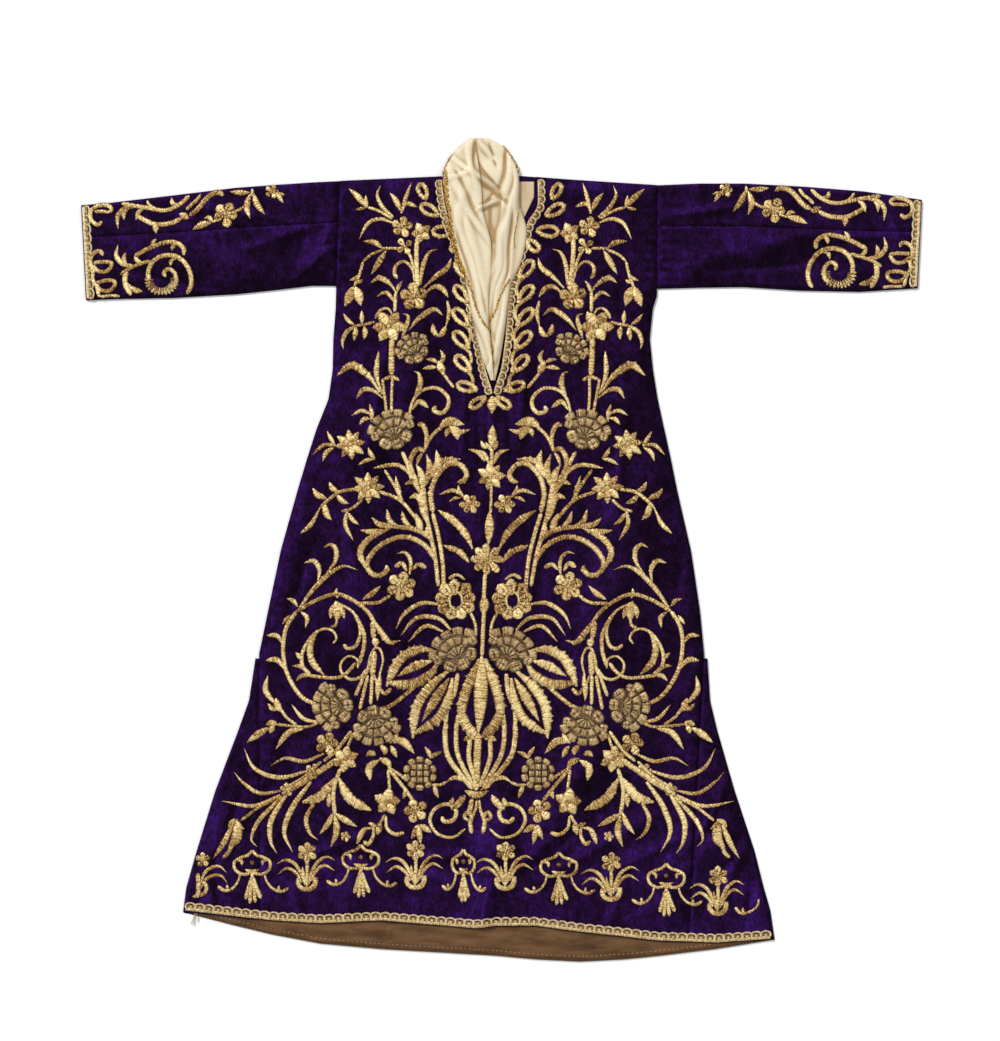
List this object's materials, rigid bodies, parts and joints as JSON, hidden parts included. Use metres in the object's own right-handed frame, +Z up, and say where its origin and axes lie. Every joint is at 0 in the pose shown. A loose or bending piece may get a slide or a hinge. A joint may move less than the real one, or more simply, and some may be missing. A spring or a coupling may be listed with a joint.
{
  "type": "ottoman wedding dress laid flat",
  "caption": "Purple velvet dress with raised gold-thread flower embroidery, braided edges and a cream silk cloth in the neck, laid flat on its back.",
  "frame": {"origin": "middle of the bottom of the box round the dress as it lies on its back", "axes": "+X across the dress towards the sleeve on the right as seen from above, +Y from the hem to the shoulders, +Z up from the surface it lies on"},
  "size_m": [1.394, 1.366, 0.0157],
  "materials": {
    "velvet": "deep violet silk velvet, napped",
    "gold_thread": "couched gold metal thread over card",
    "silk": "thin cream silk, soft sheen",
    "facing": "beige cotton facing, plain weave",
    "lining": "brown cotton lining, crumpled"
  },
  "bodies": {
    "root": {"back_panel": "velvet", "front_panel": "velvet", "gore_left": "velvet", "gore_right": "velvet", "sleeve_left_upper": "velvet", "sleeve_left_lower": "velvet", "sleeve_right_upper": "velvet", "sleeve_right_lower": "velvet", "hem_lining": "lining", "back_neck_facing": "facing", "hem_braid": "gold_thread", "cuff_braid_left": "gold_thread", "cuff_braid_right": "gold_thread", "neck_braid_left": "gold_thread", "neck_braid_right": "gold_thread", "neck_cloth": "silk", "neck_cloth_lace": "gold_thread"}
  },
  "joints": []
}
